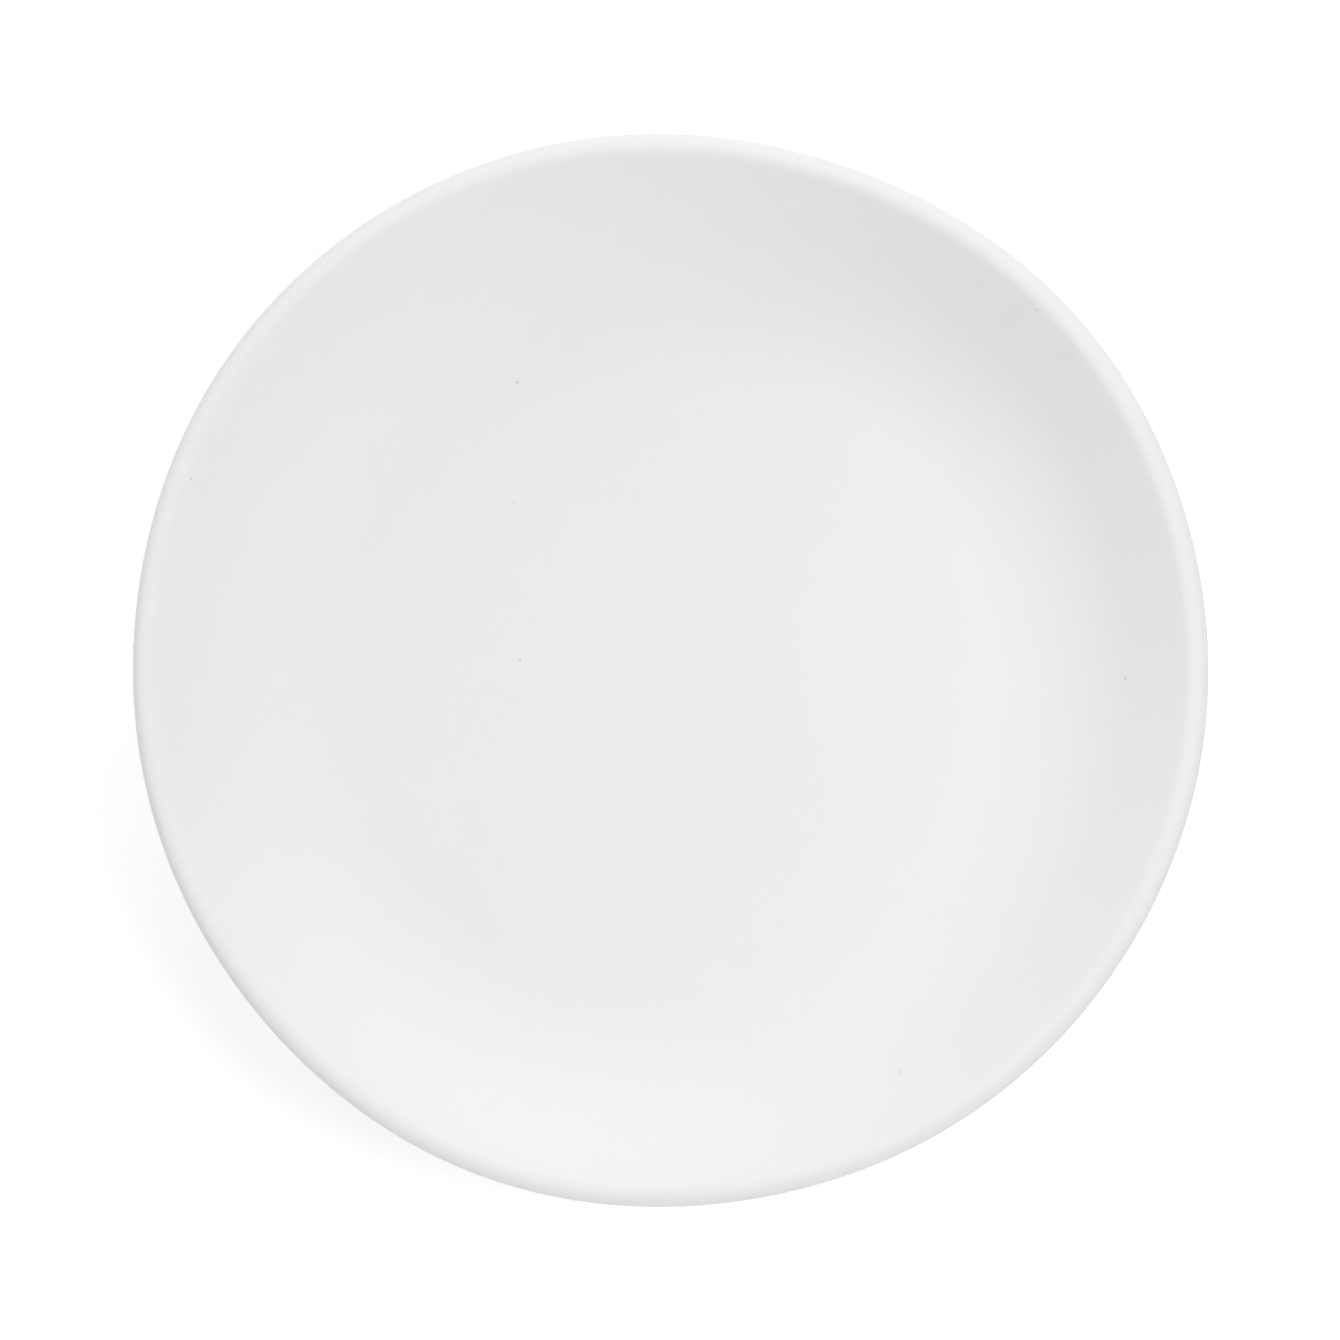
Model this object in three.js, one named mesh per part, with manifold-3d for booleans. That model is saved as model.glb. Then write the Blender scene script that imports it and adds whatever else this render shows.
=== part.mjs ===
// Silicone suction plate: a shallow round dish that lifts off a suction foot.
// Millimetres, +Z up. The table is Z = 0, the dish turns about Z, and the release tab points to -Y.

import * as THREE from 'three';
import { mergeVertices } from 'three/addons/utils/BufferGeometryUtils.js';
import Module from 'manifold-3d';

const wasm = await Module();
wasm.setup();

// Dish
const PLATE_RADIUS = 90; // mean radius over the lip
const DISH_DEPTH = 17; // floor to the crest of the lip
const WALL_SLOPE = THREE.MathUtils.degToRad(42); // inner wall, up from the floor
const COVE_RADIUS = 34; // inner curve between the floor and the wall
const WALL = 4; // thickness of the floor and of the wall above the cove
const LIP = 4.8; // thickness of the rounded lip

// The outline is drawn by hand: each wave swings the rim out at its peak, in degrees from +X
const RIM_WAVES = [
  { lobes: 2, swing: 0.15, peak: -18 },
  { lobes: 3, swing: 0.36, peak: 12 },
  { lobes: 4, swing: 0.12, peak: 45 },
  { lobes: 5, swing: 0.11, peak: -35 },
  { lobes: 7, swing: 0.11, peak: -8 },
];

// Socket ring under the dish, and the snap bead of the plug that it takes
const SOCKET_RADIUS = 36; // inner radius
const SOCKET_WALL = 3.5;
const SOCKET_LAND = 0.6; // straight stretch above and below the snap groove
const SNAP_BEAD = 1; // radius of the half-round bead
const LEAD_IN = 0.6; // chamfer in the socket's mouth and on the plug

// Foot, from the middle outwards
const CHAMBER_HEIGHT = 4.8; // table to the hub's underside
const FLANGE = 2.4; // thickness of the hub under the plug
const PLUG_WALL = 4; // the plug is a ring
const SKIRT_WIDTH = 11;
const SKIRT = 1.6; // thickness
const SEAL_WIDTH = 7;
const SEAL_EDGE = 0.6; // thickness of the sealing lip at its outer edge

// Release tab
const TAB_WIDTH = 22;
const TAB_LENGTH = 18;
const TAB = 2.2; // thickness
const TAB_RAISE = 0.4; // table to the tab's underside
const TAB_ROUND = 8; // length of the rounded end
const TAB_RAMP = 3; // rise from the bend line to full thickness
const TONGUE_LENGTH = 2.5; // sealing lip's outer edge to the bend line
const BEND = 1; // height of the bend line above the table
const RIB_WIDTH = 1.6;
const RIB_HEIGHT = 0.6;
const RIB_PITCH = 2.6;

// Fits and facets
const CLEARANCE = 0.3; // between mouldings, and between the stretches of the foot that bend
const SIDES = 72; // facets around a turned piece
const CURVE_STEPS = 5; // facets along a bend of a profile, and half of those along an arc
const SNAP_STEPS = 2; // the same for the small snap bead and its groove

// Heights above the table
const flangeTop = CHAMBER_HEIGHT + FLANGE;
const socketMouth = flangeTop + CLEARANCE;
const snapGroove = SNAP_BEAD + CLEARANCE;
const beadHeight = socketMouth + LEAD_IN + SOCKET_LAND + snapGroove;
const underside = beadHeight + snapGroove + SOCKET_LAND;
const plugTop = underside - CLEARANCE;
const floorTop = underside + WALL;
const rimTop = floorTop + DISH_DEPTH;
const skirtFoot = CLEARANCE;
const sealRoot = skirtFoot + SKIRT;

// Radii, from the middle outwards
const plugRadius = SOCKET_RADIUS - CLEARANCE;
const flangeRadius = SOCKET_RADIUS + SOCKET_WALL;
const skirtInner = flangeRadius + CLEARANCE;
const skirtOuter = skirtInner + SKIRT_WIDTH;
const sealInner = skirtOuter + CLEARANCE;
const sealOuter = sealInner + SEAL_WIDTH;
const tongueEnd = sealOuter + TONGUE_LENGTH;
const tabStart = tongueEnd + CLEARANCE;

// Lip circle, and where the inner wall leaves it and meets the cove
const lipRound = LIP / 2;
const lipCentre = new THREE.Vector2(PLATE_RADIUS - lipRound, rimTop - lipRound);
const wallFoot = lipCentre.x - lipRound * Math.sin(WALL_SLOPE)
  - (lipCentre.y + lipRound * Math.cos(WALL_SLOPE) - floorTop) / Math.tan(WALL_SLOPE);
const floorRadius = wallFoot - COVE_RADIUS * Math.tan(WALL_SLOPE / 2);
const coveCentre = new THREE.Vector2(floorRadius, floorTop + COVE_RADIUS);
const outerCove = COVE_RADIUS + WALL;

// Where the socket ring's outer face meets the underside, as an angle about the cove's centre
const ringRoot = Math.asin(Math.max(0, flangeRadius - floorRadius) / outerCove) - Math.PI / 2;

// Finishes
function plateSilicone() {
  return new THREE.MeshStandardMaterial({ color: 0xeeeeed, roughness: 0.68, metalness: 0 });
}

function footSilicone() {
  return new THREE.MeshStandardMaterial({ color: 0xe3e3e0, roughness: 0.55, metalness: 0 });
}

// Shape helpers
function solidOf(geometry) {
  const bare = geometry.clone();
  bare.deleteAttribute('normal');
  bare.deleteAttribute('uv');
  const welded = mergeVertices(bare);
  return new wasm.Manifold(new wasm.Mesh({
    numProp: 3,
    vertProperties: new Float32Array(welded.attributes.position.array),
    triVerts: new Uint32Array(welded.index.array),
  }));
}

function geometryOf(solid) {
  const mesh = solid.getMesh();
  const geometry = new THREE.BufferGeometry();
  geometry.setAttribute('position', new THREE.BufferAttribute(mesh.vertProperties, 3));
  geometry.setIndex(new THREE.BufferAttribute(mesh.triVerts, 1));
  geometry.computeVertexNormals();
  return geometry;
}

function turned(points) {
  return new THREE.LatheGeometry(points, SIDES).rotateX(Math.PI / 2);
}

function extruded(shape, depth) {
  return new THREE.ExtrudeGeometry(shape, { depth, bevelEnabled: false, curveSegments: CURVE_STEPS });
}

function piece(name, geometry, material) {
  const mesh = new THREE.Mesh(geometry, material);
  mesh.name = name;
  return mesh;
}

// Plate
function rimSway(angle) {
  return RIM_WAVES.reduce((sum, wave) => {
    const peak = THREE.MathUtils.degToRad(wave.peak);
    return sum + wave.swing * Math.cos(wave.lobes * (angle - peak));
  }, 0);
}

function swayed(geometry) {
  const position = geometry.attributes.position;
  for (let i = 0; i < position.count; i += 1) {
    const x = position.getX(i);
    const y = position.getY(i);
    const share = THREE.MathUtils.smoothstep(Math.hypot(x, y), floorRadius, PLATE_RADIUS);
    const stretch = 1 + (share * rimSway(Math.atan2(y, x))) / PLATE_RADIUS;
    position.setXY(i, x * stretch, y * stretch);
  }
  return geometry;
}

function socketProfile() {
  const grooveMouth = Math.acos(CLEARANCE / snapGroove);
  const profile = new THREE.Path();
  profile.moveTo(0, underside);
  profile.lineTo(SOCKET_RADIUS, underside);
  profile.absarc(plugRadius, beadHeight, snapGroove, grooveMouth, -grooveMouth, true);
  profile.lineTo(SOCKET_RADIUS, socketMouth + LEAD_IN);
  profile.lineTo(SOCKET_RADIUS + LEAD_IN, socketMouth);
  profile.lineTo(flangeRadius, socketMouth);
  profile.lineTo(flangeRadius, coveCentre.y + outerCove * Math.sin(ringRoot));
  return profile;
}

function dishProfile() {
  const inward = WALL_SLOPE - Math.PI / 2;
  const profile = new THREE.Path();
  profile.absarc(coveCentre.x, coveCentre.y, outerCove, ringRoot, inward, false);
  profile.absarc(lipCentre.x, lipCentre.y, lipRound, inward, inward + Math.PI, false);
  profile.absarc(coveCentre.x, coveCentre.y, COVE_RADIUS, inward, -Math.PI / 2, true);
  profile.lineTo(0, floorTop);
  return profile;
}

function plateBody() {
  const points = [...socketProfile().getPoints(SNAP_STEPS), ...dishProfile().getPoints(CURVE_STEPS)];
  return piece('plate_body', swayed(turned(points)), plateSilicone());
}

// Suction foot
function footHub() {
  const plugInner = plugRadius - PLUG_WALL;
  const profile = new THREE.Path();
  profile.moveTo(0, CHAMBER_HEIGHT);
  profile.lineTo(flangeRadius, CHAMBER_HEIGHT);
  profile.lineTo(flangeRadius, flangeTop);
  profile.lineTo(plugRadius, flangeTop);
  profile.lineTo(plugRadius, plugTop - LEAD_IN);
  profile.lineTo(plugRadius - LEAD_IN, plugTop);
  profile.lineTo(plugInner, plugTop);
  profile.lineTo(plugInner, flangeTop);
  profile.lineTo(0, flangeTop);
  return piece('foot_hub', turned(profile.getPoints()), footSilicone());
}

function snapBead() {
  const profile = new THREE.Path();
  profile.absarc(plugRadius, beadHeight, SNAP_BEAD, -Math.PI / 2, Math.PI / 2, false);
  profile.lineTo(plugRadius, beadHeight - SNAP_BEAD);
  return piece('snap_bead', turned(profile.getPoints(SNAP_STEPS)), footSilicone());
}

function suctionSkirt() {
  const middle = (skirtInner + skirtOuter) / 2;
  const top = CHAMBER_HEIGHT + SKIRT;
  const profile = new THREE.Path();
  profile.moveTo(skirtInner, CHAMBER_HEIGHT);
  profile.bezierCurveTo(middle, CHAMBER_HEIGHT, middle, skirtFoot, skirtOuter, skirtFoot);
  profile.lineTo(skirtOuter, sealRoot);
  profile.bezierCurveTo(middle, sealRoot, middle, top, skirtInner, top);
  profile.lineTo(skirtInner, CHAMBER_HEIGHT);
  return piece('suction_skirt', turned(profile.getPoints(CURVE_STEPS)), footSilicone());
}

function sealingLip() {
  const profile = new THREE.Path();
  profile.moveTo(sealInner, 0);
  profile.lineTo(sealOuter, 0);
  profile.lineTo(sealOuter, SEAL_EDGE);
  profile.lineTo(sealInner, sealRoot);
  profile.lineTo(sealInner, 0);
  const ring = solidOf(turned(profile.getPoints()));
  const tongueStart = (sealInner + sealOuter) / 2;
  const tongueBlock = new THREE.BoxGeometry(TAB_WIDTH, tongueEnd - tongueStart, BEND);
  tongueBlock.translate(0, -(tongueStart + tongueEnd) / 2, BEND / 2);
  return piece('sealing_lip', geometryOf(ring.add(solidOf(tongueBlock))), footSilicone());
}

function tabSide() {
  const top = TAB_RAISE + TAB;
  const tipCentre = TAB_LENGTH - TAB / 2;
  const ribs = Math.floor((TAB_LENGTH - TAB_RAMP - TAB_ROUND / 2) / RIB_PITCH);
  const firstRib = TAB_LENGTH - TAB_ROUND / 2;
  const side = new THREE.Shape();
  side.moveTo(0, TAB_RAISE);
  side.lineTo(tipCentre, TAB_RAISE);
  side.absarc(tipCentre, TAB_RAISE + TAB / 2, TAB / 2, -Math.PI / 2, Math.PI / 2, false);
  for (let i = 0; i < ribs; i += 1) {
    const middle = firstRib - i * RIB_PITCH;
    side.lineTo(middle + RIB_WIDTH / 2, top);
    side.quadraticCurveTo(middle, top + 2 * RIB_HEIGHT, middle - RIB_WIDTH / 2, top);
  }
  side.lineTo(TAB_RAMP, top);
  side.lineTo(0, BEND);
  side.closePath();
  return side;
}

function tabOutline() {
  const half = TAB_WIDTH / 2;
  const outline = new THREE.Shape();
  outline.moveTo(-half, 0);
  outline.lineTo(half, 0);
  outline.lineTo(half, TAB_LENGTH - TAB_ROUND);
  outline.absellipse(0, TAB_LENGTH - TAB_ROUND, half, TAB_ROUND, 0, Math.PI, false);
  outline.closePath();
  return outline;
}

function releaseTab() {
  const side = extruded(tabSide(), TAB_WIDTH);
  side.translate(0, 0, -TAB_WIDTH / 2);
  side.rotateX(Math.PI / 2);
  side.rotateZ(-Math.PI / 2);
  const outline = extruded(tabOutline(), TAB_RAISE + TAB + 2 * RIB_HEIGHT);
  outline.rotateZ(Math.PI);
  const tab = geometryOf(solidOf(side).intersect(solidOf(outline)));
  tab.translate(0, -tabStart, 0);
  return piece('release_tab', tab, footSilicone());
}

const suctionPlate = new THREE.Group();
suctionPlate.name = 'suction_plate';
suctionPlate.add(plateBody());
suctionPlate.add(footHub());
suctionPlate.add(snapBead());
suctionPlate.add(suctionSkirt());
suctionPlate.add(sealingLip());
suctionPlate.add(releaseTab());

export default suctionPlate;
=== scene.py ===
"""Silicone suction plate: a shallow white dish that snaps onto a suction foot with a release tab.

Sizes are written in millimetres and become metres when a mesh is built. The table is Z = 0, the dish
turns about Z and the release tab points to -Y.
"""

import logging
import math
from collections.abc import Mapping
from dataclasses import dataclass
from enum import Enum

import bpy
import numpy as np
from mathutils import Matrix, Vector


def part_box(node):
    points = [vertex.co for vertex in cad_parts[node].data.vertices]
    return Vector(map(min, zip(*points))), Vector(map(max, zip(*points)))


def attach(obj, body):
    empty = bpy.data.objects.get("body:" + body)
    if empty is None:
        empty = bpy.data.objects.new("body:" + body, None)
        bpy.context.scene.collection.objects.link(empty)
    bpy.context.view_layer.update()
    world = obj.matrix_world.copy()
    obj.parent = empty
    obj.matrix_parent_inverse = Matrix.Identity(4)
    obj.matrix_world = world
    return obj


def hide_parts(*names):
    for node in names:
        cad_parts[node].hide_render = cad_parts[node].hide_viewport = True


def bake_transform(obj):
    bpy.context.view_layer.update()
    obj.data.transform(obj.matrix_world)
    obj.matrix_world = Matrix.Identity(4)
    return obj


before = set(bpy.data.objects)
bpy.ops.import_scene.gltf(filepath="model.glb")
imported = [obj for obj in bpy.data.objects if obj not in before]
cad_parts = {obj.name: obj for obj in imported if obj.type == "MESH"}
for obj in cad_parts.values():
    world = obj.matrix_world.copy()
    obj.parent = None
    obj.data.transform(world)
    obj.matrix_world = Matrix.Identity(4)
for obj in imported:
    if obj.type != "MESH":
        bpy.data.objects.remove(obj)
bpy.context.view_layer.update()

MM = 0.001
TINY = 1e-9
LOG = logging.getLogger("suction_plate")

Colour = tuple[float, float, float]

# The sockets of a mix node that is set to mix colours
MIX_SHARE = 0
MIX_FROM = 6
MIX_TO = 7
MIX_RESULT = 2


class Body(Enum):
    """The moving bodies that a piece can ride on."""

    SEAL = "seal"
    HUB = "hub"
    PLATE = "plate"
    TAB = "tab"


class Slot(Enum):
    """The finishes that the record names."""

    PLATE = "plate_silicone"
    FOOT = "foot_silicone"


class Operation(Enum):
    """The ways in which a shader works out a number from two others."""

    POWER = "POWER"
    PRODUCT = "MULTIPLY"
    LARGER = "MAXIMUM"


# Shape tools


def smooth(value: np.ndarray, start: float, end: float) -> np.ndarray:
    """Ease from 0 at start to 1 at end.

    Args:
        value: Where along the way each point lies.
        start: Where the rise begins.
        end: Where the rise ends, which may lie before start.

    Returns:
        The eased share of each point.
    """
    share = np.clip((value - start) / (end - start), 0.0, 1.0)
    return share * share * (3.0 - 2.0 * share)


def node_box(node: str) -> tuple[Vector, Vector]:
    """Give the lowest and highest corner of a solid of the frame, in millimetres.

    Args:
        node: The solid's name.

    Returns:
        The two corners.
    """
    low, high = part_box(node)
    return low / MM, high / MM


def object_of(name: str, points: np.ndarray, faces: list[tuple[int, ...]]) -> bpy.types.Object:
    """Make a smooth object of a mesh and put it into the scene.

    Args:
        name: The piece's name.
        points: Its corners, in millimetres.
        faces: The corners of each face, counter-clockwise from outside.

    Returns:
        The new object.
    """
    mesh = bpy.data.meshes.new(name)
    mesh.from_pydata((points * MM).tolist(), [], faces)
    mesh.shade_smooth()
    piece = bpy.data.objects.new(name, mesh)
    bpy.context.scene.collection.objects.link(piece)
    return piece


def bands(rings: int, count: int, first: int = 0) -> list[tuple[int, ...]]:
    """Join each ring of points to the next one with four-cornered faces.

    Args:
        rings: How many rings there are.
        count: How many points each ring has.
        first: The number of the first point.

    Returns:
        The corners of each face.
    """
    faces = []
    for ring in range(rings - 1):
        near = first + ring * count
        far = near + count
        for a in range(count):
            b = (a + 1) % count
            faces.append((near + a, near + b, far + b, far + a))
    return faces


@dataclass(frozen=True)
class Corner:
    """A corner of a half section: its distance from the axis, its height and its rounding."""

    out: float
    up: float
    rounding: float = 0.0

    @property
    def place(self) -> np.ndarray:
        """The corner as a point."""
        return np.array([self.out, self.up])


@dataclass(frozen=True)
class HalfSection:
    """Half the section of a turned piece, from the axis out along the bottom and back over the top."""

    corners: tuple[Corner, ...]
    longest_step: float = 1.5
    widest_turn: float = math.radians(10.0)
    fewest_steps: int = 2

    def rounded(self, before: Corner, corner: Corner, after: Corner) -> np.ndarray:
        """Round one corner with an arc that touches both of its sides.

        Args:
            before: The corner before it.
            corner: The corner to round.
            after: The corner after it.

        Returns:
            The points of the arc, or the corner itself where it is sharp.
        """
        if corner.rounding == 0.0:
            return corner.place[None]
        back = before.place - corner.place
        back /= np.linalg.norm(back)
        ahead = after.place - corner.place
        ahead /= np.linalg.norm(ahead)
        opening = math.acos(float(np.clip(back @ ahead, -1.0, 1.0)))
        turn = math.pi - opening
        reach = corner.rounding / math.tan(opening / 2)
        inward = (back + ahead) / np.linalg.norm(back + ahead)
        middle = corner.place + inward * corner.rounding / math.sin(opening / 2)
        start = corner.place + back * reach - middle
        end = corner.place + ahead * reach - middle
        by_length = turn * corner.rounding / self.longest_step
        steps = max(self.fewest_steps, math.ceil(turn / self.widest_turn), math.ceil(by_length))
        share = np.linspace(0.0, 1.0, steps + 1)[:, None]
        return middle + (np.sin((1 - share) * turn) * start + np.sin(share * turn) * end) / math.sin(turn)

    def outline(self) -> np.ndarray:
        """Draw the section with its corners rounded and its straights cut into short steps.

        Returns:
            The points, each a distance from the axis and a height.
        """
        bends = [self.corners[0].place[None]]
        for before, corner, after in zip(self.corners, self.corners[1:], self.corners[2:]):
            bends.append(self.rounded(before, corner, after))
        bends.append(self.corners[-1].place[None])
        path = np.vstack(bends)
        drawn = [path[:1]]
        for start, end in zip(path, path[1:]):
            steps = max(1, math.ceil(np.linalg.norm(end - start) / self.longest_step))
            share = np.linspace(0.0, 1.0, steps + 1)[1:, None]
            drawn.append(start + share * (end - start))
        return np.vstack(drawn)


class TurnedPiece:
    """A half section turned about the plate's axis, which can be shaped further before it is built."""

    def __init__(self, section: HalfSection, angles: np.ndarray) -> None:
        """Turn the section.

        Args:
            section: The half section, which starts and ends on the axis.
            angles: The angles to turn it to, once round.
        """
        outline = section.outline()
        self.angles = angles
        self.out = np.repeat(outline[:, :1], len(angles), axis=1)
        self.up = np.repeat(outline[:, 1:], len(angles), axis=1)

    def build(self, name: str) -> bpy.types.Object:
        """Build the closed mesh, with one point at each end of the section.

        Args:
            name: The piece's name.

        Returns:
            The new object.
        """
        rings = np.stack([self.out * np.cos(self.angles), self.out * np.sin(self.angles), self.up], axis=-1)
        count = len(self.angles)
        points = np.vstack([rings[0, :1], rings[1:-1].reshape(-1, 3), rings[-1, :1]])
        last = len(points) - 1
        faces = bands(len(rings) - 2, count, first=1)
        for a in range(count):
            b = (a + 1) % count
            faces.append((0, 1 + b, 1 + a))
            faces.append((last - count + a, last - count + b, last))
        return object_of(name, points, faces)


# Finishes


def add_node(
    tree: bpy.types.NodeTree,
    kind: str,
    inputs: Mapping[str | int, object] | None = None,
    **settings: object,
) -> bpy.types.Node:
    """Add a shader node, set it up and join it to the nodes before it.

    Args:
        tree: The tree that the node goes into.
        kind: The node's type.
        inputs: What goes into its sockets: another node's output, or a constant.
        **settings: The node's own settings.

    Returns:
        The new node.
    """
    node = tree.nodes.new(kind)
    for name, value in settings.items():
        setattr(node, name, value)
    for name, value in (inputs or {}).items():
        if isinstance(value, bpy.types.NodeSocket):
            tree.links.new(value, node.inputs[name])
        else:
            node.inputs[name].default_value = value
    return node


def empty_tree(owner: bpy.types.Material | bpy.types.World) -> bpy.types.NodeTree:
    """Give a material or the world an empty shader tree.

    Args:
        owner: The material or the world.

    Returns:
        The tree.
    """
    owner.use_nodes = True
    owner.node_tree.nodes.clear()
    return owner.node_tree


def combine(
    tree: bpy.types.NodeTree,
    operation: Operation,
    first: bpy.types.NodeSocket,
    second: bpy.types.NodeSocket | float,
) -> bpy.types.NodeSocket:
    """Work out one number of a shader from two others.

    Args:
        tree: The shader's tree.
        operation: What is done with the two numbers.
        first: The first number.
        second: The second number.

    Returns:
        The result.
    """
    node = add_node(tree, "ShaderNodeMath", {0: first, 1: second}, operation=operation.value)
    return node.outputs["Value"]


def soft_noise(
    tree: bpy.types.NodeTree,
    place: bpy.types.NodeSocket,
    size: float,
    detail: float,
) -> bpy.types.NodeSocket:
    """Scatter soft patches over a piece.

    Args:
        tree: The tree that the noise goes into.
        place: Where each point lies on the piece.
        size: The size of a patch, in millimetres.
        detail: How many finer layers are added.

    Returns:
        The noise, from 0 to 1.
    """
    scale = 1 / (size * MM)
    node = add_node(tree, "ShaderNodeTexNoise", {"Vector": place, "Scale": scale, "Detail": detail})
    return node.outputs["Fac"]


@dataclass(frozen=True)
class SiliconeFinish:
    """Moulded silicone: matte, faintly cloudy, finely grained from its mould, with a little lint on it."""

    name: str
    colour: Colour
    cloud_colour: Colour
    roughness: float
    roughness_swing: float
    translucence: float
    cloud_size: float = 45.0
    cloud_detail: float = 3.0
    patch_size: float = 9.0
    patch_detail: float = 4.0
    grain_size: float = 0.5
    grain_detail: float = 2.0
    grain_depth: float = 0.004
    speck_spacing: float = 11.0
    speck_radius: float = 0.34
    speck_rarity: float = 2.0
    speck_colour: Colour = (0.42, 0.41, 0.4)
    light_depth: float = 1.2
    light_reach: Colour = (1.0, 0.92, 0.85)
    refraction: float = 1.41
    shine: float = 0.35

    def material(self) -> bpy.types.Material:
        """Make the material.

        Returns:
            The new material.
        """
        material = bpy.data.materials.new(self.name)
        tree = empty_tree(material)
        place = add_node(tree, "ShaderNodeTexCoord").outputs["Object"]
        shader = add_node(
            tree,
            "ShaderNodeBsdfPrincipled",
            {
                "Base Color": self.tint(tree, place),
                "Roughness": self.dullness(tree, place),
                "Normal": self.grain(tree, place),
                "IOR": self.refraction,
                "Specular IOR Level": self.shine,
                "Subsurface Weight": self.translucence,
                "Subsurface Radius": self.light_reach,
                "Subsurface Scale": self.light_depth * MM,
            },
        )
        add_node(tree, "ShaderNodeOutputMaterial", {"Surface": shader.outputs["BSDF"]})
        return material

    def tint(self, tree: bpy.types.NodeTree, place: bpy.types.NodeSocket) -> bpy.types.NodeSocket:
        """Colour the silicone: soft clouds with sparse dark specks of lint.

        Args:
            tree: The material's tree.
            place: Where each point lies on the piece.

        Returns:
            The colour.
        """
        cloudy = add_node(
            tree,
            "ShaderNodeMix",
            {
                MIX_SHARE: soft_noise(tree, place, self.cloud_size, self.cloud_detail),
                MIX_FROM: (*self.colour, 1.0),
                MIX_TO: (*self.cloud_colour, 1.0),
            },
            data_type="RGBA",
        )
        cells = add_node(
            tree,
            "ShaderNodeTexVoronoi",
            {"Vector": place, "Scale": 1 / (self.speck_spacing * MM)},
        )
        edge = self.speck_radius / self.speck_spacing
        speck = add_node(
            tree,
            "ShaderNodeMapRange",
            {
                "Value": cells.outputs["Distance"],
                "From Min": edge / 2,
                "From Max": edge,
                "To Min": 1.0,
                "To Max": 0.0,
            },
        )
        lot = add_node(tree, "ShaderNodeSeparateColor", {"Color": cells.outputs["Color"]})
        darkness = combine(tree, Operation.POWER, lot.outputs["Red"], self.speck_rarity)
        specked = add_node(
            tree,
            "ShaderNodeMix",
            {
                MIX_SHARE: combine(tree, Operation.PRODUCT, speck.outputs["Result"], darkness),
                MIX_FROM: cloudy.outputs[MIX_RESULT],
                MIX_TO: (*self.speck_colour, 1.0),
            },
            data_type="RGBA",
        )
        return specked.outputs[MIX_RESULT]

    def dullness(self, tree: bpy.types.NodeTree, place: bpy.types.NodeSocket) -> bpy.types.NodeSocket:
        """Vary the roughness in soft patches, as handling leaves them.

        Args:
            tree: The material's tree.
            place: Where each point lies on the piece.

        Returns:
            The roughness.
        """
        dull = add_node(
            tree,
            "ShaderNodeMapRange",
            {
                "Value": soft_noise(tree, place, self.patch_size, self.patch_detail),
                "To Min": self.roughness - self.roughness_swing,
                "To Max": self.roughness + self.roughness_swing,
            },
        )
        return dull.outputs["Result"]

    def grain(self, tree: bpy.types.NodeTree, place: bpy.types.NodeSocket) -> bpy.types.NodeSocket:
        """Press the mould's fine blasted grain into the surface.

        Args:
            tree: The material's tree.
            place: Where each point lies on the piece.

        Returns:
            The bumped normal.
        """
        blasted = soft_noise(tree, place, self.grain_size, self.grain_detail)
        bump = add_node(
            tree,
            "ShaderNodeBump",
            {"Height": blasted, "Strength": 1.0, "Distance": self.grain_depth * MM},
        )
        return bump.outputs["Normal"]


PLATE_FINISH = SiliconeFinish(
    name="white_plate_silicone",
    colour=(0.87, 0.87, 0.87),
    cloud_colour=(0.855, 0.855, 0.855),
    roughness=0.68,
    roughness_swing=0.07,
    translucence=0.12,
)
FOOT_FINISH = SiliconeFinish(
    name="milky_foot_silicone",
    colour=(0.78, 0.78, 0.762),
    cloud_colour=(0.76, 0.76, 0.738),
    roughness=0.52,
    roughness_swing=0.08,
    translucence=0.3,
    light_depth=2.2,
    shine=0.45,
)


# Plate


@dataclass(frozen=True)
class RimWave:
    """One wave of the uneven outline: its lobes, its swing and the angle of a peak, in degrees."""

    lobes: int
    swing: float
    peak: float

    def at(self, angles: np.ndarray) -> np.ndarray:
        """Give how far the wave moves the rim out at each angle."""
        return self.swing * np.cos(self.lobes * (angles - math.radians(self.peak)))


RIM_WAVES = (
    RimWave(2, 0.15, -18.0),
    RimWave(3, 0.36, 12.0),
    RimWave(4, 0.12, 45.0),
    RimWave(5, 0.11, -35.0),
    RimWave(7, 0.11, -8.0),
)


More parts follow.
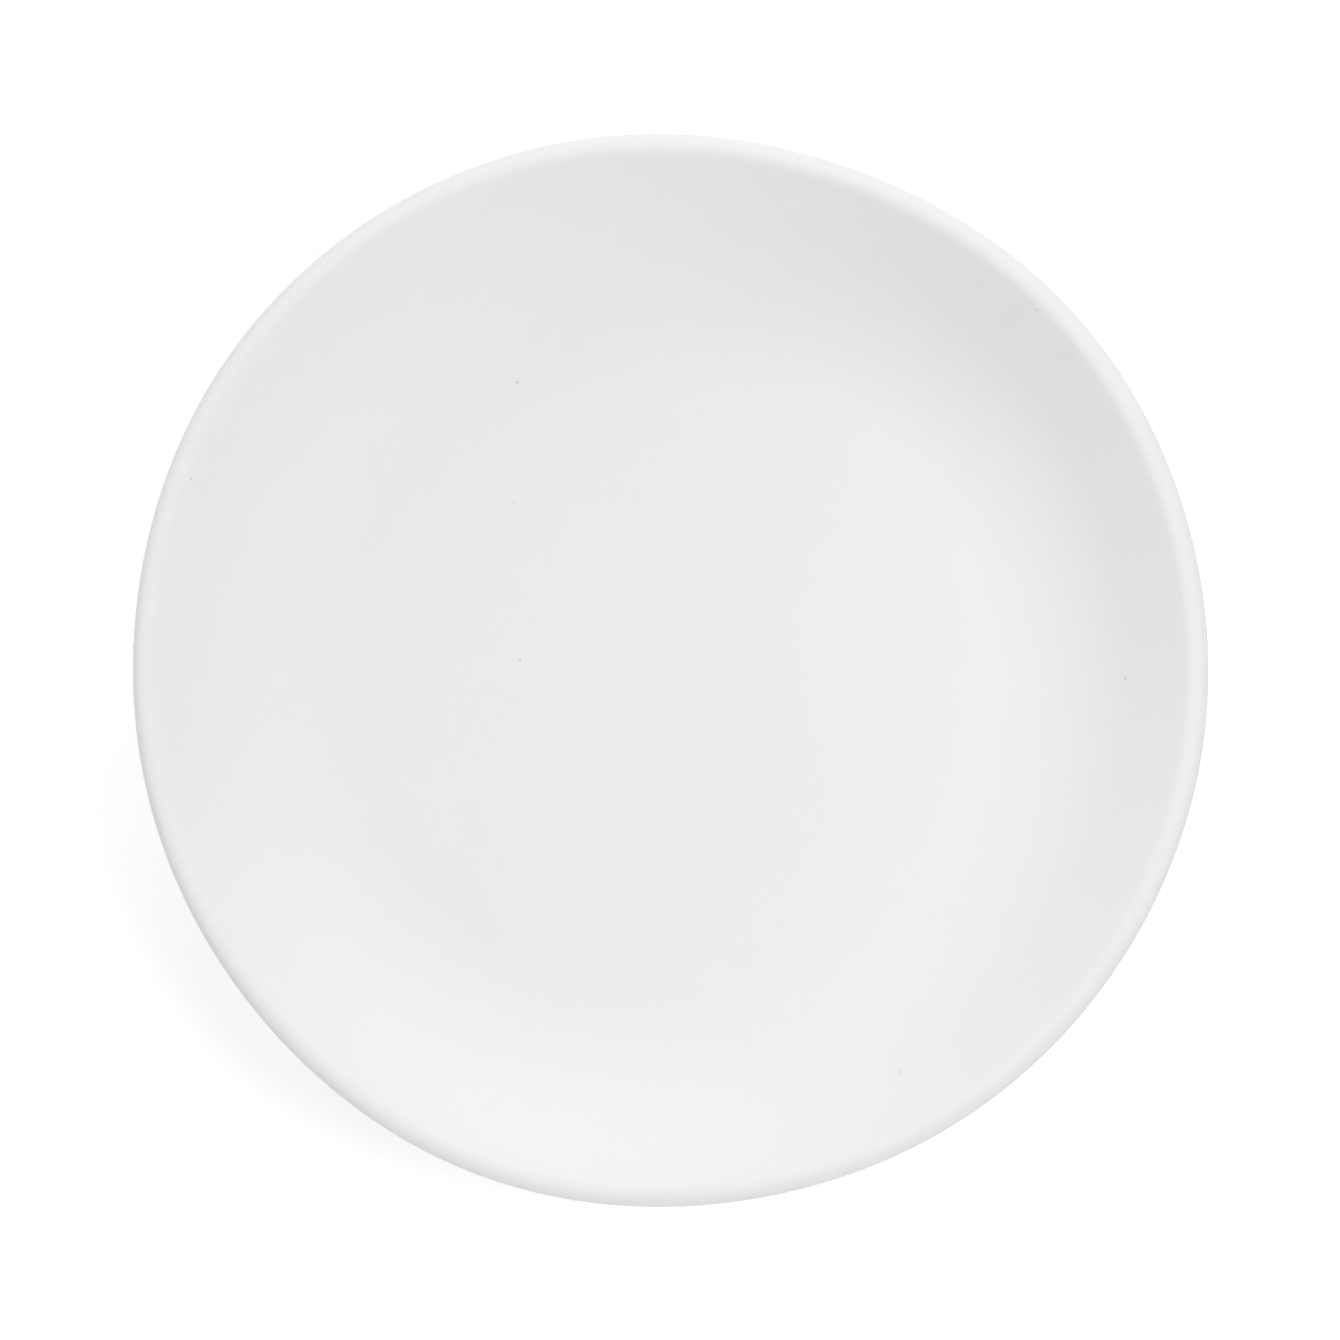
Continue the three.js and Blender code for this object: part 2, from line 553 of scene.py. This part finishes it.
@dataclass(frozen=True)
class Plate:
    """White plate: floor, cove, wall and rounded lip, with the socket ring for the foot underneath."""

    radius: float = 90.0
    depth: float = 17.0
    wall: float = 4.0
    wall_slope: float = math.radians(42.0)
    cove: float = 34.0
    lip: float = 4.8
    lip_fullness: float = 0.995
    lip_sink: float = 0.005
    flash: float = 0.07
    flash_spread: float = 0.14
    flash_drop: float = 1.5
    socket_radius: float = 36.0
    socket_wall: float = 3.5
    socket_lead: float = 0.6
    socket_corner: float = 0.2
    ring_edge: float = 0.9
    ring_root: float = 1.6
    groove_gap: float = 0.3
    groove_edge: float = 0.15
    groove_corner: float = 0.75
    gate_radius: float = 2.6
    gate_depth: float = 0.5
    gate_edge: float = 0.3
    steps_around: int = 288

    @property
    def rim_top(self) -> float:
        """The height of the lip's crest."""
        return node_box("plate_body")[1].z

    @property
    def floor(self) -> float:
        """The height of the dish's floor."""
        return self.rim_top - self.depth

    @property
    def lip_middle(self) -> np.ndarray:
        """The middle of the lip's round, a hair low to keep the crest inside the solid's box."""
        return np.array([self.radius - self.lip / 2, self.rim_top - self.lip / 2 - self.lip_sink])

    @property
    def wall_foot(self) -> float:
        """How far out the line of the inner wall meets the floor."""
        square_on = np.array([-math.sin(self.wall_slope), math.cos(self.wall_slope)])
        face = self.lip_middle + self.lip / 2 * square_on
        return float(face[0] - (face[1] - self.floor) / math.tan(self.wall_slope))

    @property
    def floor_radius(self) -> float:
        """How far out the flat of the floor reaches."""
        return self.wall_foot - self.cove * math.tan(self.wall_slope / 2)

    def lip_corners(self, foot: np.ndarray) -> list[Corner]:
        """Draw the outside of the wall, the fine flash line of the mould and the rounded lip.

        Args:
            foot: The corner where the outside of the wall leaves the underside.

        Returns:
            The corners up the outside and over the lip.
        """
        half = self.lip / 2
        along = np.array([math.cos(self.wall_slope), math.sin(self.wall_slope)])
        across = np.array([-along[1], along[0]])
        outer = self.lip_middle + half * (along - across)
        inner = self.lip_middle + half * (along + across)
        climb = (outer - foot) / np.linalg.norm(outer - foot)
        outward = np.array([climb[1], -climb[0]])
        line = outer - climb * (self.lip + self.flash_drop)
        spread = climb * self.flash_spread
        ridge = [line - spread, line + outward * self.flash, line + spread]
        opening = math.acos(float(-climb @ across))
        nearly_half = half * self.lip_fullness
        return [
            *(Corner(*point) for point in ridge),
            Corner(*outer, nearly_half * math.tan(opening / 2)),
            Corner(*inner, nearly_half),
        ]

    def section(self) -> HalfSection:
        """Draw half of the plate's section.

        Returns:
            The half section.
        """
        mouth = node_box("plate_body")[0].z
        underside = self.floor - self.wall
        bead_low, bead_high = node_box("snap_bead")
        groove = bead_high.x + self.groove_gap
        groove_low = bead_low.z - self.groove_gap
        groove_high = bead_high.z + self.groove_gap
        ring = self.socket_radius + self.socket_wall
        gate = underside + self.gate_depth
        return HalfSection((
            Corner(0.0, gate),
            Corner(self.gate_radius - self.gate_depth, gate, self.gate_edge),
            Corner(self.gate_radius, underside, self.gate_edge),
            Corner(self.socket_radius, underside, self.socket_corner),
            Corner(self.socket_radius, groove_high, self.groove_edge),
            Corner(groove, groove_high, self.groove_corner),
            Corner(groove, groove_low, self.groove_corner),
            Corner(self.socket_radius, groove_low, self.groove_edge),
            Corner(self.socket_radius, mouth + self.socket_lead, self.socket_corner),
            Corner(self.socket_radius + self.socket_lead, mouth, self.socket_corner),
            Corner(ring, mouth, self.ring_edge),
            Corner(ring, underside, self.ring_root),
            Corner(self.wall_foot, underside, self.cove + self.wall),
            *self.lip_corners(np.array([self.wall_foot, underside])),
            Corner(self.wall_foot, self.floor, self.cove),
            Corner(0.0, self.floor),
        ))

    def build(self) -> bpy.types.Object:
        """Turn the plate and draw its rim out of round.

        Returns:
            The bare piece.
        """
        angles = np.linspace(0.0, math.tau, self.steps_around, endpoint=False)
        turned = TurnedPiece(self.section(), angles)
        sway = sum(wave.at(angles) for wave in RIM_WAVES)
        turned.out *= 1 + smooth(turned.out, self.floor_radius, self.radius) * sway / self.radius
        return turned.build("plate")

    def dress(self, plate: bpy.types.Object) -> None:
        """Give the plate its finish and let it lift off with its body.

        Args:
            plate: The bare piece.
        """
        plate.data.materials.append(PLATE_FINISH.material())
        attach(plate, Body.PLATE.value)
        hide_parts("plate_body")


# Suction foot


@dataclass(frozen=True)
class SuctionFoot:
    """Suction cup in one moulding: plug and snap bead, flange, soft skirt, sealing lip and tab tongue."""

    plug_wall: float = 4.0
    plug_lead: float = 0.6
    plug_edge: float = 0.4
    plug_root: float = 0.3
    plug_well: float = 0.8
    bead_edge: float = 0.15
    bead_corner: float = 0.75
    bead_top: float = 0.1
    flange: float = 2.4
    flange_edge: float = 0.4
    flange_flare: float = 0.3
    skirt: float = 1.6
    skirt_slope: float = math.radians(44.0)
    skirt_bend: float = 8.0
    lip_edge: float = 0.6
    lip_low_round: float = 0.2
    lip_high_round: float = 0.25
    lip_swell: float = 0.4
    lip_grooves: tuple[float, ...] = (53.4, 55.6)
    groove_width: float = 0.8
    groove_depth: float = 0.25
    groove_edge: float = 0.1
    gate_radius: float = 1.4
    gate_height: float = 0.3
    gate_edge: float = 0.15
    tongue_thickness: float = 1.0
    tongue_round: float = 3.0
    tongue_overlap: float = 0.6
    tongue_turn: float = math.radians(17.0)
    least_front: float = 0.5
    held_height: float = 0.3
    longest_step: float = 1.0
    steps_around: int = 200
    steps_at_tongue: int = 72

    @property
    def ceiling(self) -> float:
        """The height of the chamber's ceiling."""
        return node_box("foot_hub")[0].z

    @property
    def skirt_middle(self) -> float:
        """How far out the middle of the skirt's slope lies."""
        return (node_box("foot_hub")[1].x + node_box("suction_skirt")[1].x) / 2

    @property
    def half_run(self) -> float:
        """Half the width of the skirt's slope."""
        return self.ceiling / math.tan(self.skirt_slope) / 2

    def underside(self) -> list[Corner]:
        """Draw the chamber's ceiling, the inside of the skirt and the flat that seals on the table.

        Returns:
            The corners from the axis out to the sealing lip's edge.
        """
        gate = self.ceiling - self.gate_height
        corners = [
            Corner(0.0, gate),
            Corner(self.gate_radius, gate, self.gate_edge),
            Corner(self.gate_radius + self.gate_height, self.ceiling, self.gate_edge),
            Corner(self.skirt_middle - self.half_run, self.ceiling, self.skirt_bend),
            Corner(self.skirt_middle + self.half_run, 0.0, self.skirt_bend),
        ]
        half = self.groove_width / 2
        for groove in self.lip_grooves:
            corners += [
                Corner(groove - half, 0.0, self.groove_edge),
                Corner(groove - half / 2, self.groove_depth, self.groove_edge),
                Corner(groove + half / 2, self.groove_depth, self.groove_edge),
                Corner(groove + half, 0.0, self.groove_edge),
            ]
        edge = node_box("sealing_lip")[1].x
        corners.append(Corner(edge, 0.0, self.lip_low_round))
        corners.append(Corner(edge, self.lip_edge, self.lip_high_round))
        return corners

    def top(self) -> list[Corner]:
        """Draw the top of the sealing lip, the skirt, the flange and the plug with its snap bead.

        Returns:
            The corners from the sealing lip's edge back to the axis.
        """
        hub = node_box("foot_hub")[1]
        bead_low, bead_high = node_box("snap_bead")
        root = node_box("sealing_lip")[1].z + self.lip_swell
        skirt_middle = self.skirt_middle + self.skirt * math.tan(self.skirt_slope / 2)
        skirt_top = self.ceiling + self.skirt
        bend = self.skirt_bend - self.skirt
        flange_top = self.ceiling + self.flange
        plug = bead_high.x - (bead_high.z - bead_low.z) / 2
        well = plug - self.plug_wall
        gate = flange_top + self.gate_height
        return [
            Corner(skirt_middle + self.half_run - self.lip_swell, root, bend),
            Corner(skirt_middle - self.half_run, skirt_top, bend),
            Corner(hub.x + self.flange_flare, skirt_top, self.flange_flare),
            Corner(hub.x, flange_top, self.flange_edge),
            Corner(plug, flange_top, self.plug_root),
            Corner(plug, bead_low.z, self.bead_edge),
            Corner(bead_high.x, bead_low.z, self.bead_corner),
            Corner(bead_high.x, bead_high.z, self.bead_corner),
            Corner(plug, bead_high.z, self.bead_top),
            Corner(plug - self.plug_lead, hub.z, self.plug_root),
            Corner(well, hub.z, self.plug_edge),
            Corner(well, flange_top, self.plug_well),
            Corner(self.gate_radius + self.gate_height, flange_top, self.gate_edge),
            Corner(self.gate_radius, gate, self.gate_edge),
            Corner(0.0, gate),
        ]

    def angles(self) -> np.ndarray:
        """Space the steps round the foot, close together across the tongue.

        Returns:
            The angles, once round from one side of the tongue.
        """
        front = -math.pi / 2
        start = front - self.tongue_turn
        end = front + self.tongue_turn
        close = np.linspace(start, end, self.steps_at_tongue, endpoint=False)
        wide = np.linspace(end, start + math.tau, self.steps_around, endpoint=False)
        return np.concatenate([close, wide])

    def draw_tongue(self, turned: TurnedPiece) -> None:
        """Draw the sealing lip out and thicken it where the release tab joins.

        Args:
            turned: The foot, still round.
        """
        low, high = node_box("sealing_lip")
        half_tab = node_box("release_tab")[1].x
        across = np.abs(turned.out * np.cos(turned.angles))
        front = -np.sin(turned.angles)
        near = smooth(across, half_tab + self.tongue_round, half_tab - self.tongue_overlap)
        at_front = np.where(front > self.least_front, near, 0.0)
        start = (node_box("suction_skirt")[1].x + high.x) / 2
        share = np.clip((turned.out - start) / (high.x - start), 0.0, 1.0) * at_front
        reach = -low.y / np.maximum(front, self.least_front)
        turned.out += share * (reach - high.x)
        turned.up *= 1 + share * (self.tongue_thickness / self.lip_edge - 1)

    def build(self) -> bpy.types.Object:
        """Turn the foot and draw out its tongue.

        Returns:
            The bare piece.
        """
        section = HalfSection((*self.underside(), *self.top()), longest_step=self.longest_step)
        turned = TurnedPiece(section, self.angles())
        self.draw_tongue(turned)
        return turned.build("suction_foot")

    def dress(self, foot: bpy.types.Object) -> None:
        """Give the foot its finish, fix its place into its mesh and hide the frame's solids that it replaces.

        Args:
            foot: The bare piece.
        """
        foot.data.materials.append(FOOT_FINISH.material())
        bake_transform(foot)
        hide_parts("foot_hub", "snap_bead", "suction_skirt", "sealing_lip")


@dataclass(frozen=True)
class ReleaseTab:
    """Finger tab on a thin web: a rounded pad with gripping ribs, lifted to let air under the lip."""

    thickness: float = 2.2
    edge_round: float = 1.0
    most_rounding: float = 0.45
    end_round: float = 8.0
    end_turn: float = math.radians(89.5)
    ramp_start: float = 0.2
    ramp: float = 3.0
    web: float = 0.65
    web_raise: float = 0.15
    web_root: float = 1.2
    web_narrowing: float = 0.8
    rib_width: float = 1.6
    rib_height: float = 0.6
    rib_pitch: float = 2.6
    ribs: int = 4
    rib_margin: float = 2.4
    step: float = 0.2
    end_steps: int = 36
    steps_across: int = 48

    def stations(self, length: float) -> np.ndarray:
        """Space the sections along the tab, closer towards the rounded end.

        Args:
            length: The tab's length from the bend line.

        Returns:
            The distance of each section from the bend line, one to a row.
        """
        straight = np.arange(-self.web_root, length - self.end_round, self.step)
        turn = np.linspace(0.0, self.end_turn, self.end_steps)
        return np.concatenate([straight, length - self.end_round + self.end_round * np.sin(turn)])[:, None]

    def past_straight(self, along: np.ndarray, length: float) -> np.ndarray:
        """Give how far into the rounded end each section lies, from 0 to 1."""
        return np.clip((along - length + self.end_round) / self.end_round, 0.0, 1.0)

    def inset(self, across: np.ndarray, along: np.ndarray, half: float, length: float) -> np.ndarray:
        """Measure how far each point lies inside the tab's outline.

        Args:
            across: Distance from the tab's middle line.
            along: Distance from the bend line.
            half: Half the tab's width.
            length: The tab's length.

        Returns:
            The distance to the outline, roughly.
        """
        past = self.past_straight(along, length)
        share = np.hypot(across / half, past)
        towards_end = (past / np.maximum(share, TINY)) ** 2
        return (half + (self.end_round - half) * towards_end) * (1 - share)

    def rib(self, along: np.ndarray, length: float) -> np.ndarray:
        """Give the height of the gripping ribs along the tab.

        Args:
            along: Distance from the bend line.
            length: The tab's length.

        Returns:
            The height over the pad.
        """
        first = length - self.end_round / 2
        height = np.zeros_like(along)
        for number in range(self.ribs):
            offset = (along - first + number * self.rib_pitch) / (self.rib_width / 2)
            height = np.maximum(height, self.rib_height * np.sqrt(np.clip(1 - offset**2, 0.0, 1.0)))
        return height

    def sections(self) -> np.ndarray:
        """Draw the tab's sections: thin at the web, thicker on the pad, rounded at the edges and ribbed.

        Returns:
            The points of each section, once round it.
        """
        low, high = node_box("release_tab")
        half = high.x
        length = high.y - low.y
        along = self.stations(length)
        on_web = smooth(along, self.ramp / 2, 0.0)
        width = half * np.sqrt(1 - self.past_straight(along, length) ** 2) - self.web_narrowing * on_web
        across = width * np.sin(np.linspace(math.pi / 2, -math.pi / 2, self.steps_across + 1))
        rise = smooth(along, self.ramp_start, self.ramp)
        bottom = self.web_raise + (low.z - self.web_raise) * rise
        height = self.web + (self.thickness - self.web) * rise
        inside = self.inset(across, along, half, length)
        rounding = np.minimum(self.edge_round, self.most_rounding * height)
        side = np.clip(np.where(on_web > 0, width - np.abs(across), inside), 0.0, rounding)
        drop = rounding - np.sqrt(np.maximum(rounding**2 - (rounding - side) ** 2, 0.0))
        ribbed = self.rib(along, length) * smooth(inside, self.rib_margin / 2, self.rib_margin)
        back = np.broadcast_to(high.y - along, across.shape)
        upper = np.stack([across, back, bottom + height - drop + ribbed], axis=-1)
        lower = np.stack([across, back, bottom + drop], axis=-1)
        return np.concatenate([upper, lower[:, ::-1]], axis=1)

    def build(self) -> bpy.types.Object:
        """Loft the tab through its sections and close both ends.

        Returns:
            The bare piece.
        """
        sections = self.sections()
        rows, count = sections.shape[:2]
        last = (rows - 1) * count
        ends = [tuple(reversed(range(count))), tuple(range(last, last + count))]
        return object_of("release_tab_pad", sections.reshape(-1, 3), [*ends, *bands(rows, count)])

    def dress(self, tab: bpy.types.Object) -> None:
        """Give the tab its finish, fix its place into its mesh and hide the frame's solid that it replaces.

        Args:
            tab: The bare piece.
        """
        tab.data.materials.append(FOOT_FINISH.material())
        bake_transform(tab)
        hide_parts("release_tab")


# Studio


@dataclass(frozen=True)
class Lamp:
    """One soft square lamp: its bearing and height in degrees, its watts, its distance and side in metres."""

    name: str
    azimuth: float
    elevation: float
    power: float
    distance: float = 1.6
    side: float = 0.7

    def place(self, target: Vector) -> None:
        """Hang the lamp and turn it to the plate.

        Args:
            target: The point that it faces.
        """
        light = bpy.data.lights.new(self.name, "AREA")
        light.energy = self.power
        light.size = self.side
        lamp = bpy.data.objects.new(self.name, light)
        azimuth = math.radians(self.azimuth)
        elevation = math.radians(self.elevation)
        level = math.cos(elevation)
        towards = Vector((level * math.cos(azimuth), level * math.sin(azimuth), math.sin(elevation)))
        lamp.location = target + towards * self.distance
        lamp.rotation_euler = towards.to_track_quat("Z", "Y").to_euler()
        bpy.context.scene.collection.objects.link(lamp)


@dataclass(frozen=True)
class Studio:
    """White table under soft lamps, seen from straight above."""

    lamps: tuple[Lamp, ...] = (
        Lamp("right_lamp", 0.0, 55.0, 10.8),
        Lamp("back_lamp", 90.0, 35.0, 4.9),
        Lamp("low_back_lamp", 120.0, 15.0, 6.4),
        Lamp("left_lamp", 240.0, 35.0, 3.8),
        Lamp("low_left_lamp", 240.0, 15.0, 2.6),
    )
    world_light: float = 0.362
    floor_radius: float = 3000.0
    floor_steps: int = 96
    floor_drop: float = 0.05
    floor_cover: float = 0.2
    floor_colour: float = 0.75
    floor_glow: float = 0.5
    far_glow: float = 0.85
    fade_start: float = 200.0
    fade_end: float = 900.0
    lens: float = 120.0
    sensor: float = 36.0
    view_width: float = 224.2
    aim: tuple[float, float] = (0.12, -0.06)

    def seen_directly(self, tree: bpy.types.NodeTree) -> bpy.types.NodeSocket:
        """Tell the rays that show the background from those that light the plate.

        Args:
            tree: The tree of the floor or the world.

        Returns:
            1 for camera, glossy and transmission rays, else 0.
        """
        rays = add_node(tree, "ShaderNodeLightPath").outputs
        mirrored = combine(tree, Operation.LARGER, rays["Is Camera Ray"], rays["Is Glossy Ray"])
        return combine(tree, Operation.LARGER, mirrored, rays["Is Transmission Ray"])

    def lay_floor(self) -> None:
        """Lay the pale floor, which shows white, keeps the plate's shadow and fades into the white room.

        It is open under the foot, so that the foot's underside isn't in the dark when it is seen from below.
        """
        edges = (self.floor_radius, node_box("sealing_lip")[1].x - self.floor_cover)
        around = np.linspace(0.0, math.tau, self.floor_steps, endpoint=False)
        angles = np.tile(around, len(edges))
        radii = np.repeat(edges, self.floor_steps)
        heights = np.full_like(angles, -self.floor_drop)
        points = np.stack([radii * np.cos(angles), radii * np.sin(angles), heights], axis=-1)
        floor = object_of("floor", points, bands(len(edges), self.floor_steps))
        floor.data.materials.append(self.floor_material())

    def floor_material(self) -> bpy.types.Material:
        """Make the floor's white, which glows a little towards the camera and is clear from below.

        Returns:
            The new material.
        """
        material = bpy.data.materials.new("pale_floor")
        tree = empty_tree(material)
        grey = self.floor_colour
        matte = add_node(tree, "ShaderNodeBsdfDiffuse", {"Color": (grey, grey, grey, 1.0)})
        place = add_node(tree, "ShaderNodeTexCoord").outputs["Object"]
        away = add_node(tree, "ShaderNodeVectorMath", {0: place}, operation="LENGTH")
        fade = add_node(
            tree,
            "ShaderNodeMapRange",
            {
                "Value": away.outputs["Value"],
                "From Min": self.fade_start * MM,
                "From Max": self.fade_end * MM,
                "To Min": self.floor_glow,
                "To Max": self.far_glow,
            },
        )
        lift = combine(tree, Operation.PRODUCT, self.seen_directly(tree), fade.outputs["Result"])
        glow = add_node(tree, "ShaderNodeEmission", {"Strength": lift})
        lit = add_node(tree, "ShaderNodeAddShader", {0: matte.outputs["BSDF"], 1: glow.outputs["Emission"]})
        below = add_node(tree, "ShaderNodeNewGeometry").outputs["Backfacing"]
        clear = add_node(tree, "ShaderNodeBsdfTransparent")
        shown = add_node(
            tree,
            "ShaderNodeMixShader",
            {0: below, 1: lit.outputs["Shader"], 2: clear.outputs["BSDF"]},
        )
        add_node(tree, "ShaderNodeOutputMaterial", {"Surface": shown.outputs["Shader"]})
        return material

    def light_world(self) -> None:
        """Fill the room with even light and show it white behind the plate."""
        world = bpy.data.worlds.new("white_room")
        tree = empty_tree(world)
        strength = add_node(
            tree,
            "ShaderNodeMapRange",
            {"Value": self.seen_directly(tree), "To Min": self.world_light, "To Max": 1.0},
        )
        background = add_node(
            tree,
            "ShaderNodeBackground",
            {"Color": (1.0, 1.0, 1.0, 1.0), "Strength": strength.outputs["Result"]},
        )
        add_node(tree, "ShaderNodeOutputWorld", {"Surface": background.outputs["Background"]})
        bpy.context.scene.world = world

    def hang_camera(self) -> None:
        """Hang the camera straight above the plate, so that the rim fills the photographed frame."""
        data = bpy.data.cameras.new("top_camera")
        data.lens = self.lens
        data.sensor_width = self.sensor
        camera = bpy.data.objects.new("top_camera", data)
        widest = node_box("plate_body")[1].z - Plate.lip / 2
        height = widest + self.view_width * self.lens / self.sensor
        camera.location = Vector((*self.aim, height)) * MM
        bpy.context.scene.collection.objects.link(camera)
        bpy.context.scene.camera = camera

    def build(self) -> None:
        """Set up the floor, the light and the camera."""
        self.lay_floor()
        self.light_world()
        target = Vector((0.0, 0.0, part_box("plate_body")[0].z))
        for lamp in self.lamps:
            lamp.place(target)
        self.hang_camera()
        bpy.context.scene.view_settings.view_transform = "Standard"


def main() -> None:
    """Build the plate, its foot, its tab and the studio, and report each piece."""
    logging.basicConfig(level=logging.INFO, format="%(name)s: %(message)s")
    for part in (Plate(), SuctionFoot(), ReleaseTab()):
        piece = part.build()
        part.dress(piece)
        LOG.info("%s has %d faces", piece.name, len(piece.data.polygons))
    Studio().build()


if __name__ == "__main__":
    main()
